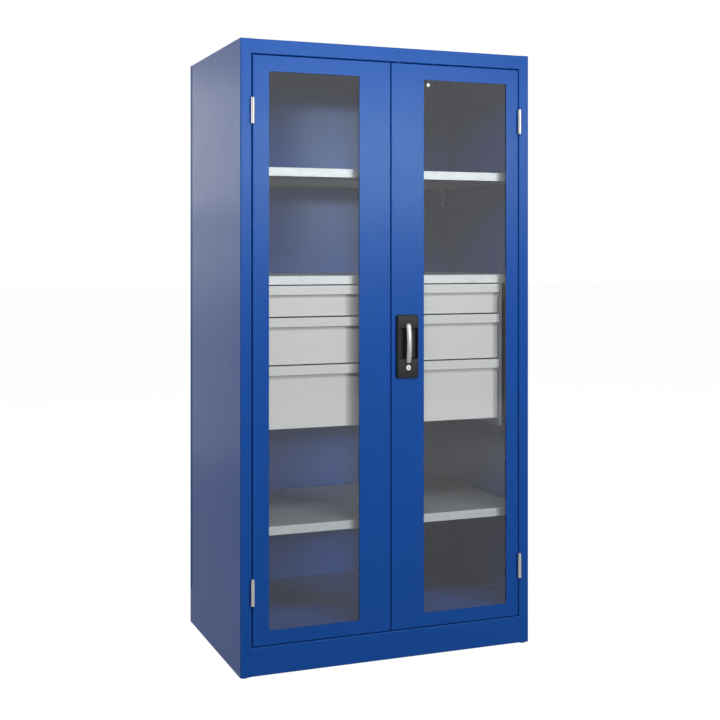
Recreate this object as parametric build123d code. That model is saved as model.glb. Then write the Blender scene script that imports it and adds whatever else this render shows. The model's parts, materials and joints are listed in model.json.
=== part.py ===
from build123d import *
from math import acos, cos, pi, radians, sin, sqrt, tan
import os

# Heavy-duty storage cabinet: a folded steel carcass, two doors with clear windows, a turn-lever lock that draws
# two rods by rack and pinion, three shelves on clips, and a block of three drawers on telescopic runners.
# Millimetres. X runs across the width, the doors face -Y, and the floor is at Z = 0. The origin lies on the floor
# in the middle of the whole footprint, which runs from the lever's foremost point to the rear of the carcass.
# "back" is always a depth behind the front face of the frame and doors, and negative in front of it.

# Carcass
width = 1000.0
height = 1950.0
depth = 600.0
sheet = 1.5
bend = 3.0
fit = 0.2
beyond = 1.0
stile = 36.0
rail = 45.8
plinth = 92.2
rebate = 26.0
stop_width = 14.0
rear_flange = 20.0
top_rear_flange = 12.0
plinth_hem = 14.0
floor_top = 122.0
floor_flange = 25.0
wall_hole_radius = 7.0
wall_hole_x = 424.0
wall_hole_drop = 20.0

# Slotted posts that carry the shelf clips
post_depth = 18.5
rear_post_face = 63.3
rear_post_depth = 16.8
slot_pitch = 100.0
slot_height = 15.0
slot_width = 6.0
slot_lowest = 185.0
slot_top_margin = 60.0
rear_slot_from_side = 24.5

# Feet
glide_radius = 14.0
glide_foot_radius = 12.0
glide_sides = 8
glide_rise = 4.0
glide_thickness = 8.0
glide_inset = 16.5
rear_glide_inset = 22.0
glide_peg = 8.0
glide_peg_length = 10.0
foot_plate_thickness = 3.0
foot_plate_length = 40.0

# Doors
door_gap = 3.0
door_depth = 22.0
door_sheet = 1.2
door_edge_radius = 2.0
door_lip = 14.0
window_bottom = 139.7
window_top = 1852.4
left_window_margins = (107.2, 52.3)
right_window_margins = (114.3, 45.2)
pane_overlap = 12.0
pane_thickness = 3.0
gasket_thickness = 1.0
strip_sheet = 1.2
strip_clearance = 0.3
channel_depth = 16.0
hinge_channel_width = 24.0
hinge_channel_inset = 5.2
lock_channel_width = 76.0
channel_end_gap = 20.0
buffer_side = 10.0
buffer_clearance = 0.3
buffer_x = 60.0
buffer_inset = 8.0

# Hinges
knuckle_radius = 6.0
knuckle_length = 40.0
knuckle_stand_off = 6.3
pin_radius = 2.5
pin_clearance = 0.1
pin_proud = 2.0
leaf_thickness = 2.0
leaf_depth = 18.0
hinge_centres = (261.6, 1729.5)
hinge_split = 0.3

# Lock housing, lever and cylinder
lock_x = 55.0
housing_width = 75.0
housing_bottom = 897.0
housing_top = 1098.4
housing_proud = 10.5
housing_corner = 7.0
housing_edge = 3.6
housing_cover = 2.5
housing_spigot = 6.0
recess_width = 66.0
recess_bottom = 958.0
recess_top = 1055.0
recess_depth = 24.3
recess_taper = 3.0
recess_wall = 2.0
lever_axis_z = 1064.0
lever_width = 17.0
lever_end_z = 943.0
lever_reach = 27.0
lever_end_reach = 18.5
lever_gap = 0.3
lever_bow_gap = 7.0
lever_foot_length = 16.0
lever_edge = 3.6
lever_tip_bevel = 5.0
cylinder_z = 930.0
cylinder_flange_radius = 8.5
cylinder_flange_height = 3.6
cylinder_half_flats = 7.6
cylinder_sides = 8
cylinder_length = 24.0
core_radius = 6.0
core_clearance = 0.1
core_length = 20.0
keyway = (1.8, 7.5, 8.0)

# Rods, rack and pinion, and the case that holds them
gear_module = 2.0
pinion_teeth = 12
rack_teeth = 7
lead_teeth = 2
rack_addendum = 1.3
rack_dedendum = 2.4
tooth_backlash = 0.5
pressure_angle = radians(20)
spindle_radius = 5.0
spindle_clearance = 0.15
tenon = 7.0
tenon_length = 3.5
rod_width = 12.0
rod_thickness = 3.0
rod_back = 16.6
rod_clearance = 0.3
rod_end_gap = 1.0
rod_tip_bevel = 3.0
case_width = 78.0
case_margin = 8.6
case_sheet = 1.2
case_edge = 2.0
case_screw_inset = 4.4
case_screw_drop = 6.6
screw_radius = 2.5
screw_head_half_flats = 4.0
screw_head_height = 1.5
boss_side = 9.0
guide_sheet = 1.2
guide_height = 16.0
guide_foot = 8.0
guide_end_distance = 42.0
guide_lock_distance = 70.0
keeper_thickness = 3.0
keeper_margin = 10.0

# Shelves
shelf_sheet = 1.25
shelf_edge = 27.0
shelf_return = 15.0
shelf_bend = 1.2
shelf_front = 33.0
shelf_rear_gap = 5.0
shelf_side_gap = 1.5
shelf_post_gap = 4.0
upper_shelf_top = 1562.0
middle_shelf_top = 1224.5
lower_shelf_top = 449.5
clip_sheet = 1.8
clip_width = 12.0
clip_seat = 18.0
clip_hook = 6.0
clip_hook_height = 10.0
clip_hook_thickness = 3.6

# Drawer block
block_side_gap = 89.0
block_sheet = 1.2
block_front = 33.0
block_front_flange = 6.5
block_bottom = 721.6
block_top_flange = 19.0
block_rear_gap = 2.0
block_tongue = 10.0
tie_height = 50.0
tie_depth = 12.0
tie_rise = 10.0
drawer_pitches = {"drawer_upper": 100.0, "drawer_middle": 150.0, "drawer_lower": 200.0}
drawer_gap = 4.0
drawer_top_gap = 4.0
drawer_front_back = 45.0
drawer_front_depth = 12.0
drawer_front_gap = 2.7
drawer_sheet = 1.0
drawer_front_edge = 0.8
drawer_depth = 500.0
drawer_wall_drop = 12.0
drawer_floor_rise = 9.0
grip_height = 28.0
grip_hem = 5.0
grip_sheet = 1.2
grip_bend = 2.0
cheek_drop = 24.0
runner_length = 490.0
runner_height = 45.0
runner_sheet = 1.2
runner_lip = 8.5
runner_gap = 0.6
runner_nest = 0.8
runner_start = 60.0

# Sizes that follow from those above
half = width / 2
frame_x = half - stile
frame_seam = frame_x + bend
stop_x = frame_x - stop_width
rail_bottom = height - rail
stop_drop = rail_bottom - stop_width - 2 * sheet
wall_x = half - sheet - fit
back_face = depth - sheet - fit - sheet
door_top = rail_bottom - door_gap
door_bottom = plinth + door_gap
door_inner = door_gap / 2
door_outer = frame_x - door_gap
pane_back = door_sheet + gasket_thickness
hinge_x = frame_x - door_gap / 2
rear_post_x = wall_x - rear_post_face
rear_post_back = back_face - fit - rear_post_depth
post_bottom = floor_top + fit
post_top = height - sheet - fit
shelf_rear = rear_post_back - shelf_rear_gap
front_post_rear = rebate + sheet + fit + post_depth
pinion_radius = gear_module * pinion_teeth / 2
rod_front = rod_back
rod_rear = rod_front + rod_thickness
case_inner_face = rod_rear + rod_clearance
case_face = case_inner_face + case_sheet
upper_rod_edge = lock_x - pinion_radius - rack_dedendum
lower_rod_edge = lock_x + pinion_radius + rack_dedendum
rod_travel = pinion_radius * pi / 2
cutout_half_width = housing_width / 2 - housing_cover
cutout_bottom = housing_bottom + housing_cover
cutout_top = housing_top - housing_cover
case_bottom = housing_bottom - case_margin
case_top = housing_top + case_margin
block_half = half - block_side_gap
block_top = middle_shelf_top - shelf_edge - fit
drawer_half = block_half - drawer_front_gap
runner_web = block_half - fit


def y(back):
    """The Y coordinate of a depth behind the front face."""
    return back + (lever_reach - depth) / 2


def block(x0, x1, back0, back1, z0, z1):
    """A box between two corners."""
    centre = Pos((x0 + x1) / 2, y((back0 + back1) / 2), (z0 + z1) / 2)
    return centre * Box(abs(x1 - x0), abs(back1 - back0), abs(z1 - z0))


def rod_along_y(x, z, radius, back0, back1):
    """A round bar square to the front face."""
    centre = Pos(x, y((back0 + back1) / 2), z)
    return centre * Rot(90, 0, 0) * Cylinder(radius, abs(back1 - back0))


def polygon_along_y(x, z, half_flats, sides, back0, back1):
    """A bar with equal flats, square to the front face."""
    section = Plane.XZ * RegularPolygon(half_flats, sides, major_radius=False)
    return Pos(x, y(back1), z) * extrude(section, back1 - back0)


def bent(points, thickness, radius, side):
    """The section of a bent sheet whose exposed face follows the points; no radius leaves its corners sharp."""
    path = FilletPolyline(*points, radius=radius) if radius else Polyline(*points)
    return make_face(offset(path, thickness, side=side, kind=Kind.INTERSECTION))


def upright(plan_points, thickness, radius, side, z0, z1):
    """A sheet bent about vertical lines: the points are X and depth."""
    section = bent([(x, y(back)) for x, back in plan_points], thickness, radius, side)
    return Pos(0, 0, z0) * extrude(section, z1 - z0)


def crosswise(side_points, thickness, radius, side, half_length):
    """A sheet bent about lines along X: the points are depth and height."""
    section = bent([(y(back), z) for back, z in side_points], thickness, radius, side)
    return Pos(-half_length, 0, 0) * extrude(Plane.YZ * section, 2 * half_length)


def along_depth(points, thickness, radius, side, back0, back1):
    """A sheet bent about lines that run front to back: the points are X and Z."""
    section = bent(points, thickness, radius, side)
    return Pos(0, y(back1), 0) * extrude(Plane.XZ * section, back1 - back0)


def plate(x0, x1, back0, back1, z0, z1, corner):
    """A flat horizontal sheet with its corners cut off."""
    outline = chamfer(Rectangle(x1 - x0, back1 - back0).vertices(), corner)
    return Pos((x0 + x1) / 2, y((back0 + back1) / 2), z0) * extrude(outline, z1 - z0)


def face_plate(x0, x1, z0, z1, corner, back0, back1):
    """A sheet parallel to the front, with rounded corners."""
    outline = Plane.XZ * RectangleRounded(x1 - x0, z1 - z0, corner)
    return Pos((x0 + x1) / 2, y(back1), (z0 + z1) / 2) * extrude(outline, back1 - back0)


def left(shape):
    """The same piece on the other side of the cabinet."""
    return mirror(shape, about=Plane.YZ)


def both_sides(solids):
    return solids + [left(solid) for solid in solids]


def edges_at(shape, back):
    """The edges that lie in the plane at a depth."""
    return [edge for edge in shape.edges() if abs(edge.center().Y - y(back)) < 1e-4
            and edge.bounding_box().size.Y < 1e-4]


def save(name, shape):
    """Write one node: a single solid, or a list of separate solids."""
    solids = shape if isinstance(shape, list) else [shape]
    pieces = [solid for piece in solids for solid in piece.solids()]
    export_step(pieces[0] if len(pieces) == 1 else Compound(children=pieces), f"parts/{name}.step")


# Carcass panels
def side_panel():
    """Side wall, stile, door recess, door stop and rear flange, folded from one sheet."""
    points = [(stop_x, rebate), (frame_x, rebate), (frame_x, 0), (half, 0), (half, depth),
              (half - rear_flange, depth)]
    panel = upright(points, sheet, bend, Side.LEFT, glide_rise, height)
    for z0, z1 in ((0, plinth), (rail_bottom, height)):
        panel -= block(stop_x - sheet, frame_seam, -sheet, rebate + 2 * sheet, z0, z1)
    return panel


def top_panel():
    """Top sheet with the front rail, the door stop under it and a rear flange."""
    top_front = [(depth / 2, height), (0, height), (0, rail_bottom), (rebate + sheet, rail_bottom)]
    panel = crosswise(top_front, sheet, bend, Side.LEFT, frame_seam - fit)
    stop = [(bend, rail_bottom), (rebate, rail_bottom), (rebate, stop_drop)]
    panel += crosswise(stop, sheet, 0, Side.LEFT, stop_x - fit)
    rear = [(depth - rear_flange, height), (depth, height), (depth, height - top_rear_flange)]
    panel += crosswise(rear, sheet, bend, Side.RIGHT, half - rear_flange - fit)
    panel += plate(-wall_x, wall_x, bend + fit, depth - sheet - fit, height - sheet, height, bend)
    corner = block(frame_seam + fit, wall_x - bend, sheet + fit, 2 * bend, height - sheet, height)
    panel += [corner, left(corner)]
    return panel - rod_hole(upper_rod_edge - rod_width, rail_bottom - sheet, rail_bottom + 2 * sheet)


def floor_panel():
    """Floor tray, notched round the front posts, with a front and a rear flange."""
    front = rebate + sheet + fit
    rear = back_face - fit
    narrow = [(front, floor_top - floor_flange), (front, floor_top), (rear, floor_top),
              (rear, floor_top - floor_flange)]
    tray = crosswise(narrow, sheet, 0, Side.RIGHT, stop_x - fit)
    return tray + block(-wall_x, wall_x, front_post_rear + fit, rear, floor_top - sheet, floor_top)


def plinth_front():
    """Plinth between the stiles, with the lower door recess and stop."""
    face = [(plinth_hem, glide_rise), (0, glide_rise), (0, plinth), (rebate + sheet, plinth)]
    panel = crosswise(face, sheet, bend, Side.RIGHT, frame_seam - fit)
    stop = [(bend, plinth), (rebate, plinth), (rebate, floor_top - fit)]
    panel += crosswise(stop, sheet, 0, Side.RIGHT, stop_x - fit)
    return panel - rod_hole(lower_rod_edge, plinth - 2 * sheet, plinth + sheet)


def back_panel():
    """Rear wall with two holes for fixing the cabinet to a wall."""
    panel = block(bend - half, half - bend, back_face, back_face + sheet, glide_rise, height - bend)
    for x in (-wall_hole_x, wall_hole_x):
        panel -= rod_along_y(x, height - wall_hole_drop, wall_hole_radius, back_face - sheet, depth)
    return panel


def slot_heights():
    count = int((height - slot_top_margin - slot_lowest) / slot_pitch) + 1
    return [slot_lowest + slot_pitch * index for index in range(count)]


def front_post():
    """Slotted angle behind the door stop; its slots face the middle of the cabinet."""
    behind_stop = rebate + sheet + fit
    points = [(frame_x, behind_stop), (stop_x, behind_stop), (stop_x, front_post_rear)]
    post = upright(points, sheet, 0, Side.RIGHT, post_bottom, rail_bottom - fit)
    slots = [block(stop_x - sheet, stop_x + 2 * sheet, front_slot_back() - slot_width / 2,
                   front_slot_back() + slot_width / 2, z - slot_height / 2, z + slot_height / 2)
             for z in slot_heights()]
    return post - slots


def front_slot_back():
    """Depth of the middle of the front slots."""
    return front_post_rear - clip_width / 2


def rear_post():
    """Slotted hat section in the rear corner; its slots face the front."""
    points = [(rear_post_x, back_face - fit), (rear_post_x, rear_post_back), (wall_x, rear_post_back),
              (wall_x, back_face - fit)]
    post = upright(points, sheet, 0, Side.LEFT, post_bottom, post_top)
    middle = half - rear_slot_from_side
    slots = [block(middle - slot_width / 2, middle + slot_width / 2, rear_post_back - sheet,
                   rear_post_back + 2 * sheet, z - slot_height / 2, z + slot_height / 2)
             for z in slot_heights()]
    return post - slots


# Feet
def glide_places():
    """X and depth of the two right-hand glides, front and rear."""
    return [(half - glide_inset, glide_inset), (half - glide_inset, depth - rear_glide_inset)]


def foot_plate(x, back, back0, back1):
    """Flat plate in a corner of the carcass, with a square hole for the glide's peg."""
    low = glide_thickness + fit
    high = low + foot_plate_thickness
    hole = glide_peg / 2 + fit
    return (block(frame_seam + fit, wall_x, back0, back1, low, high)
            - block(x - hole, x + hole, back - hole, back + hole, low - fit, high + fit))


def foot_plates():
    (x, front_back), (_, rear_back) = glide_places()
    front = foot_plate(x, front_back, bend + fit, bend + fit + foot_plate_length)
    rear = foot_plate(x, rear_back, back_face - fit - foot_plate_length, back_face - fit)
    return both_sides([front, rear])


def glides():
    """Moulded eight-sided pads, each with a square peg that snaps into its foot plate."""
    pad = loft([RegularPolygon(glide_foot_radius, glide_sides),
                Pos(0, 0, glide_thickness) * RegularPolygon(glide_radius, glide_sides)])
    peg = Pos(0, 0, glide_thickness + glide_peg_length / 2) * Box(glide_peg, glide_peg, glide_peg_length)
    return both_sides([Pos(x, y(back), 0) * (pad + peg) for x, back in glide_places()])


# Shelves
def shelf(top):
    """Galvanised tray, turned down all round, narrower in front where it passes between the posts."""
    narrow = stop_x - shelf_post_gap
    wide = half - sheet - shelf_side_gap
    step = front_post_rear + shelf_side_gap
    corners = [(-narrow, shelf_front), (narrow, shelf_front), (narrow, step), (wide, step),
               (wide, shelf_rear), (-wide, shelf_rear), (-wide, step), (-narrow, step)]
    outline = make_face(Polyline(*[(x, y(back)) for x, back in corners], close=True))
    tray = Pos(0, 0, top - shelf_edge) * extrude(outline, shelf_edge)
    tray = chamfer(tray.edges().group_by(Axis.Z)[-1], shelf_bend)
    inside = offset(outline, -shelf_sheet, kind=Kind.INTERSECTION)
    pocket = Pos(0, 0, top - shelf_edge) * extrude(inside, shelf_edge - shelf_sheet)
    tray -= pocket
    low = top - shelf_edge
    tray += block(-narrow + shelf_sheet, narrow - shelf_sheet, shelf_front + shelf_sheet / 2,
                  shelf_front + shelf_return, low, low + shelf_sheet)
    tray += block(-wide + shelf_sheet, wide - shelf_sheet, shelf_rear - shelf_return,
                  shelf_rear - shelf_sheet / 2, low, low + shelf_sheet)
    return tray


def clip_pair(top):
    """The right front and right rear clip under one shelf: a seat, a leg down the post and a hook in its slot."""
    seat = top - shelf_edge - fit
    hook_z = max(z for z in slot_heights() if z + clip_hook_height / 2 < seat - clip_sheet)
    leg_bottom = hook_z - clip_hook_height
    hook0, hook1 = hook_z - clip_hook_height / 2, hook_z + clip_hook_height / 2
    middle = front_slot_back()
    face = stop_x - fit
    front = block(face - clip_sheet, face, middle - clip_width / 2, middle + clip_width / 2, leg_bottom, seat)
    front += block(face - clip_seat, face, middle - clip_width / 2, middle + clip_width / 2,
                   seat - clip_sheet, seat)
    front += block(face - clip_sheet, face + clip_hook, middle - clip_hook_thickness / 2,
                   middle + clip_hook_thickness / 2, hook0, hook1)
    x = half - rear_slot_from_side
    face = rear_post_back - fit
    rear = block(x - clip_width / 2, x + clip_width / 2, face - clip_sheet, face, leg_bottom, seat)
    rear += block(x - clip_width / 2, x + clip_width / 2, face - clip_seat, face, seat - clip_sheet, seat)
    rear += block(x - clip_hook_thickness / 2, x + clip_hook_thickness / 2, face - clip_sheet, face + clip_hook,
                  hook0, hook1)
    return [front, rear]


def shelf_clips():
    tops = (upper_shelf_top, middle_shelf_top, lower_shelf_top)
    return both_sides([clip for top in tops for clip in clip_pair(top)])


# Doors, drawn on the right-hand side
def window_span(margins):
    """X of the window's two upright edges, for its margins at the lock side and at the hinge side."""
    lock_side, hinge_side = margins
    return door_inner + lock_side, door_outer - hinge_side


def door_skin(margins):
    """Folded pan with the window cut-out: its edges turn back and then inwards."""
    skin = block(door_inner, door_outer, 0, door_depth, door_bottom, door_top)
    skin = fillet(edges_at(skin, 0), door_edge_radius)
    skin -= block(door_inner + door_sheet, door_outer - door_sheet, door_sheet, door_depth - door_sheet,
                  door_bottom + door_sheet, door_top - door_sheet)
    skin -= block(door_inner + door_lip, door_outer - door_lip, door_depth - 2 * door_sheet, door_depth + beyond,
                  door_bottom + door_lip, door_top - door_lip)
    x0, x1 = window_span(margins)
    return skin - block(x0, x1, -door_sheet, 2 * door_sheet, window_bottom, window_top)


def rod_hole(x, z0, z1):
    """The clear way for a rod whose left edge is at x."""
    return block(x - rod_clearance, x + rod_width + rod_clearance, rod_front - rod_clearance,
                 rod_rear + rod_clearance, z0, z1)


def right_door_skin():
    """The pan with the lock's cut-out and the two ways out for the rods."""
    skin = door_skin(right_window_margins)
    skin -= block(lock_x - cutout_half_width, lock_x + cutout_half_width, -door_sheet, 2 * door_sheet,
                  cutout_bottom, cutout_top)
    skin -= rod_hole(upper_rod_edge - rod_width, door_top - 2 * door_sheet, door_top + beyond)
    return skin - rod_hole(lower_rod_edge, door_bottom - beyond, door_bottom + 2 * door_sheet)


def pane_box(margins):
    x0, x1 = window_span(margins)
    return (x0 - pane_overlap, x1 + pane_overlap, window_bottom - pane_overlap, window_top + pane_overlap)


def pane(margins):
    x0, x1, z0, z1 = pane_box(margins)
    return block(x0, x1, pane_back, pane_back + pane_thickness, z0, z1)


def gasket(margins):
    """Flat seal between the skin and the pane, all round the window."""
    x0, x1, z0, z1 = pane_box(margins)
    ring = block(x0, x1, door_sheet, pane_back, z0, z1)
    wx0, wx1 = window_span(margins)
    return ring - block(wx0, wx1, 0, door_depth, window_bottom, window_top)


def pane_strips(margins):
    """Four angle strips that press the pane against its gasket."""
    x0, x1, z0, z1 = pane_box(margins)
    out = strip_clearance + strip_sheet
    back = pane_back + pane_thickness
    upright_strips = []
    for edge, inwards in ((x0, 1), (x1, -1)):
        outer = edge - inwards * out
        points = [(outer, door_sheet), (outer, back + strip_sheet),
                  (edge + inwards * pane_overlap, back + strip_sheet)]
        side = Side.RIGHT if inwards > 0 else Side.LEFT
        upright_strips.append(upright(points, strip_sheet, 0, side, z0, z1))
    level_strips = []
    for edge, inwards in ((z0, 1), (z1, -1)):
        outer = edge - inwards * out
        points = [(door_sheet, outer), (back + strip_sheet, outer),
                  (back + strip_sheet, edge + inwards * pane_overlap)]
        side = Side.LEFT if inwards > 0 else Side.RIGHT
        strip = crosswise(points, strip_sheet, 0, side, (x1 - x0) / 2 - pane_overlap - strip_sheet)
        level_strips.append(Pos((x0 + x1) / 2, 0, 0) * strip)
    return upright_strips + level_strips


def channel(x0, x1, z0, z1):
    """Upright stiffening channel, open towards the skin it is welded to."""
    foot = door_sheet + fit
    points = [(x0, foot), (x0, channel_depth), (x1, channel_depth), (x1, foot)]
    return upright(points, door_sheet, 0, Side.RIGHT, z0, z1)


def door_channels(lock_spans):
    outer = door_outer - hinge_channel_inset
    low, high = door_bottom + channel_end_gap, door_top - channel_end_gap
    solids = [channel(outer - hinge_channel_width, outer, low, high)]
    x0, x1 = lock_x - lock_channel_width / 2, lock_x + lock_channel_width / 2
    return solids + [channel(x0, x1, z0, z1) for z0, z1 in lock_spans(low, high)]


def whole_span(low, high):
    return [(low, high)]


def spans_round_lock(low, high):
    return [(low, case_bottom - sheet), (case_top + sheet, high)]


# Hinges, drawn on the right-hand side
def hinge_half(x0, x1, z0, z1, clearance):
    """A knuckle with the leaf that runs back through the gap beside the door."""
    place = Pos(hinge_x, y(-knuckle_stand_off), (z0 + z1) / 2)
    knuckle = place * Cylinder(knuckle_radius, z1 - z0)
    leaf = block(x0, x1, -knuckle_stand_off, leaf_depth, z0, z1)
    return knuckle + leaf - place * Cylinder(pin_radius + clearance, 2 * (z1 - z0))


def frame_hinge_halves():
    return [hinge_half(frame_x - leaf_thickness, frame_x, z - knuckle_length, z - hinge_split / 2, 0)
            for z in hinge_centres]


def door_hinge_halves():
    return [hinge_half(door_outer, door_outer + leaf_thickness, z + hinge_split / 2, z + knuckle_length,
                       pin_clearance) for z in hinge_centres]


def hinge_pins():
    """Plain pins pressed into the frame's knuckles: the door's knuckles drop over them and turn on them."""
    pin = Cylinder(pin_radius, 2 * knuckle_length + pin_proud)
    return [Pos(hinge_x, y(-knuckle_stand_off), z + pin_proud / 2) * pin for z in hinge_centres]


def door_buffers():
    """Rubber pads on the upper and lower door stop."""
    reach = buffer_side / 2
    heights = (plinth + stop_width, rail_bottom - buffer_inset)
    return both_sides([block(buffer_x - reach, buffer_x + reach, door_depth + buffer_clearance, rebate,
                             z - reach, z + reach) for z in heights])


# Lock
def lock_housing():
    """Moulded housing: a rounded plate on the door, a deep finger recess and two screw bosses behind."""
    x0, x1 = lock_x - housing_width / 2, lock_x + housing_width / 2
    body = face_plate(x0, x1, housing_bottom, housing_top, housing_corner, -housing_proud, 0)
    body = chamfer(edges_at(body, -housing_proud), housing_edge)
    body += block(lock_x - cutout_half_width + fit, lock_x + cutout_half_width - fit, 0, housing_spigot,
                  cutout_bottom + fit, cutout_top - fit)
    middle = (recess_bottom + recess_top) / 2
    recess_height = recess_top - recess_bottom
    tub_back = recess_depth - housing_proud
    outer_half = recess_width / 2 - recess_taper + recess_wall
    body += block(lock_x - outer_half, lock_x + outer_half, 0, tub_back + recess_wall,
                  recess_bottom + recess_taper - recess_wall, recess_top - recess_taper + recess_wall)
    mouth = Plane.XZ * Rectangle(recess_width, recess_height)
    bottom = Plane.XZ * Rectangle(recess_width - 2 * recess_taper, recess_height - 2 * recess_taper)
    pocket = loft([Pos(lock_x, y(-housing_proud), middle) * mouth, Pos(lock_x, y(tub_back), middle) * bottom])
    body -= pocket
    reach = boss_side / 2
    for z in case_screw_heights():
        body += block(lock_x - reach, lock_x + reach, housing_spigot, case_inner_face - fit, z - reach, z + reach)
        body -= rod_along_y(lock_x, z, screw_radius + spindle_clearance, housing_spigot - 2, case_face)
    body -= rod_along_y(lock_x, lever_axis_z, spindle_radius + spindle_clearance, -2 * housing_proud, rod_front)
    return body - polygon_along_y(lock_x, cylinder_z, cylinder_half_flats + fit, cylinder_sides,
                                  -2 * housing_proud, rod_front)


def case_screw_heights():
    return (housing_bottom + case_screw_drop, housing_top - case_screw_inset)


def lock_case():
    """Steel tray behind the housing: bears the spindle, covers rack and pinion, and clamps the door skin."""
    x0, x1 = lock_x - case_width / 2, lock_x + case_width / 2
    case = block(x0, x1, door_sheet + fit, case_face, case_bottom, case_top)
    case = chamfer(edges_at(case, case_face), case_edge)
    case -= block(x0 + case_sheet, x1 - case_sheet, 0, case_inner_face, case_bottom + case_sheet,
                  case_top - case_sheet)
    case -= rod_hole(upper_rod_edge - rod_width, case_top - 2 * case_sheet, case_top + beyond)
    case -= rod_hole(lower_rod_edge, case_bottom - beyond, case_bottom + 2 * case_sheet)
    for z in case_screw_heights():
        case -= rod_along_y(lock_x, z, screw_radius + spindle_clearance, rod_front, door_depth)
    return case - rod_along_y(lock_x, lever_axis_z, spindle_radius + spindle_clearance, rod_front, door_depth)


def case_screws():
    """Hexagon-headed screws through the case into the housing's bosses."""
    screws = []
    for z in case_screw_heights():
        shank = rod_along_y(lock_x, z, screw_radius, housing_spigot, case_face)
        head = polygon_along_y(lock_x, z, screw_head_half_flats, 6, case_face, case_face + screw_head_height)
        screws.append(shank + head)
    return screws


def lever():
    """Bowed grip: a side profile of two arcs crossed with a bevelled front outline, and bevelled in front."""
    seat = -housing_proud - lever_gap
    top = lever_axis_z + lever_width / 2
    middle = (top + lever_end_z) / 2
    foot = lever_foot_length
    outline = [
        Line((y(seat), top), (y(-lever_end_reach), top)),
        ThreePointArc((y(-lever_end_reach), top), (y(-lever_reach), middle), (y(-lever_end_reach), lever_end_z)),
        Line((y(-lever_end_reach), lever_end_z), (y(seat), lever_end_z)),
        Line((y(seat), lever_end_z), (y(seat), lever_end_z + foot)),
        ThreePointArc((y(seat), lever_end_z + foot), (y(seat - lever_bow_gap), middle), (y(seat), top - foot)),
        Line((y(seat), top - foot), (y(seat), top)),
    ]
    bow = Pos(lock_x - lever_width / 2, 0, 0) * extrude(Plane.YZ * make_face(outline), lever_width)
    tips = chamfer(Rectangle(lever_width, top - lever_end_z).vertices(), lever_tip_bevel)
    grip = bow & Pos(lock_x, y(0), middle) * extrude(Plane.XZ * tips, lever_reach + sheet)
    grip = chamfer(grip.faces().sort_by(Axis.Y)[0].edges(), lever_edge)
    return grip - square_tenon(seat - tenon_length, tenon / 2 + spindle_clearance)


def square_tenon(back0, half_side):
    """The square end of the spindle, from a depth to the lever's seat."""
    return block(lock_x - half_side, lock_x + half_side, back0, -housing_proud, lever_axis_z - half_side,
                 lever_axis_z + half_side)


def involute_pinion():
    """Spur pinion section, gear centre at the origin and one tooth pointing along +X."""
    base = pinion_radius * cos(pressure_angle)
    tip = pinion_radius + gear_module
    root = pinion_radius - rack_addendum - fit
    half_tooth = (pi * gear_module - tooth_backlash) / 4 / pinion_radius
    involute_angle = tan(pressure_angle) - pressure_angle
    outline = []
    flank_steps = 2
    for tooth in range(pinion_teeth):
        centre = 2 * pi * tooth / pinion_teeth
        flank = [(root, half_tooth + involute_angle)]
        for step in range(flank_steps + 1):
            radius = base + (tip - base) * step / flank_steps
            angle = acos(base / radius)
            flank.append((radius, half_tooth + involute_angle - tan(angle) + angle))
        outline += [(radius, centre - angle) for radius, angle in flank]
        outline += [(radius, centre + angle) for radius, angle in reversed(flank)]
    points = [(radius * cos(angle), radius * sin(angle)) for radius, angle in outline]
    return make_face(Polyline(*points, close=True))


def lever_spindle():
    """Spindle with the pinion cut on it; its square end sits in the lever and its rear end bears in the case."""
    pinion = extrude(Plane.XZ * involute_pinion(), rod_thickness)
    spindle = Pos(lock_x, y(rod_rear), lever_axis_z) * pinion
    spindle += rod_along_y(lock_x, lever_axis_z, spindle_radius, -housing_proud - lever_gap, case_face + fit)
    return spindle + square_tenon(-housing_proud - tenon_length, tenon / 2)


def lock_cylinder():
    """Barrel with a round flange, bored for its core from the front; its eight flats keep it from turning."""
    front = -housing_proud - cylinder_flange_height
    barrel = rod_along_y(lock_x, cylinder_z, cylinder_flange_radius, front, -housing_proud)
    barrel += polygon_along_y(lock_x, cylinder_z, cylinder_half_flats, cylinder_sides, -housing_proud,
                              cylinder_length - housing_proud)
    return barrel - rod_along_y(lock_x, cylinder_z, core_radius + core_clearance, front - beyond,
                                front + core_length + fit)


def lock_core():
    """The part that turns with the key, with its keyway."""
    front = -housing_proud - cylinder_flange_height
    core = rod_along_y(lock_x, cylinder_z, core_radius, front, front + core_length)
    slot_width_x, slot_height_z, slot_depth = keyway
    return core - block(lock_x - slot_width_x / 2, lock_x + slot_width_x / 2, front - beyond, front + slot_depth,
                        cylinder_z - slot_height_z / 2, cylinder_z + slot_height_z / 2)


def rack(first, count):
    """Rack teeth pointing along +X from the pitch line at X = 0; the gaps are at whole pitches of height."""
    pitch = pi * gear_module
    half_tooth = (pitch / 2 - tooth_backlash / 2) / 2
    tip_half = half_tooth - rack_addendum * tan(pressure_angle)
    root_half = half_tooth + rack_dedendum * tan(pressure_angle)
    points = []
    for index in range(first, first + count):
        z = (index + 0.5) * pitch
        points += [(-rack_dedendum, z - root_half), (rack_addendum, z - tip_half),
                   (rack_addendum, z + tip_half), (-rack_dedendum, z + root_half)]
    points += [(-rack_dedendum - sheet, points[-1][1]), (-rack_dedendum - sheet, points[0][1])]
    return extrude(Plane.XZ * make_face(Polyline(*points, close=True)), rod_thickness)


def flat_rod(x, z0, z1, tip_z):
    """Flat bar with a bevelled tip at its outer end."""
    bar = block(x, x + rod_width, rod_front, rod_rear, z0, z1)
    tip_edges = [edge for edge in bar.edges() if abs(edge.center().Z - tip_z) < 1e-4
                 and edge.bounding_box().size.Y > rod_thickness / 2]
    return chamfer(tip_edges, rod_tip_bevel)


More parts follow.
